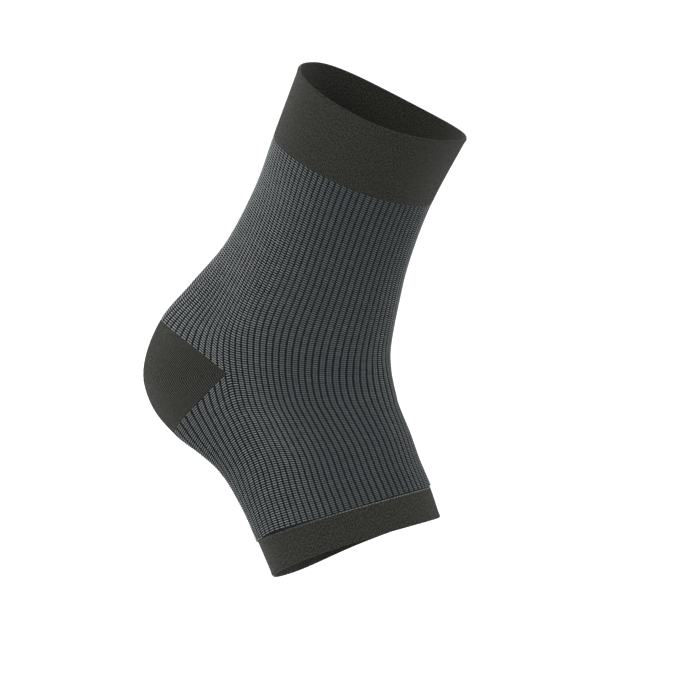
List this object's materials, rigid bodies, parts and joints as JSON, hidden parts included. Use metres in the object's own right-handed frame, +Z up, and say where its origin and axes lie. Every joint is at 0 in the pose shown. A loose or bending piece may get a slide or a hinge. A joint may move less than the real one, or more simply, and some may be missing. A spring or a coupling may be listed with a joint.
{
  "type": "ankle support",
  "caption": "Knitted open-toe ankle support in its worn form: a plain leg cuff, a ribbed sleeve, a mitred heel cup and a hem band, worn on the foot to press on and steady the ankle.",
  "frame": {"origin": "centre of the ankle inside the sleeve, on the leg's axis", "axes": "+Z up along the leg, +X forward to the toes, +Y to the inner (medial) side of a right foot"},
  "size_m": [0.1497, 0.0742, 0.206],
  "materials": {
    "cuff_knit": "fine plain knit, matte charcoal",
    "rib_knit": "ribbed knit, slate ribs and black grooves",
    "heel_knit": "fine plain knit, matte charcoal",
    "band_knit": "fine plain knit, matte charcoal"
  },
  "bodies": {
    "root": {"leg_cuff": "cuff_knit", "ankle_sleeve": "rib_knit", "heel_cup": "heel_knit", "foot_band": "band_knit"}
  },
  "joints": []
}
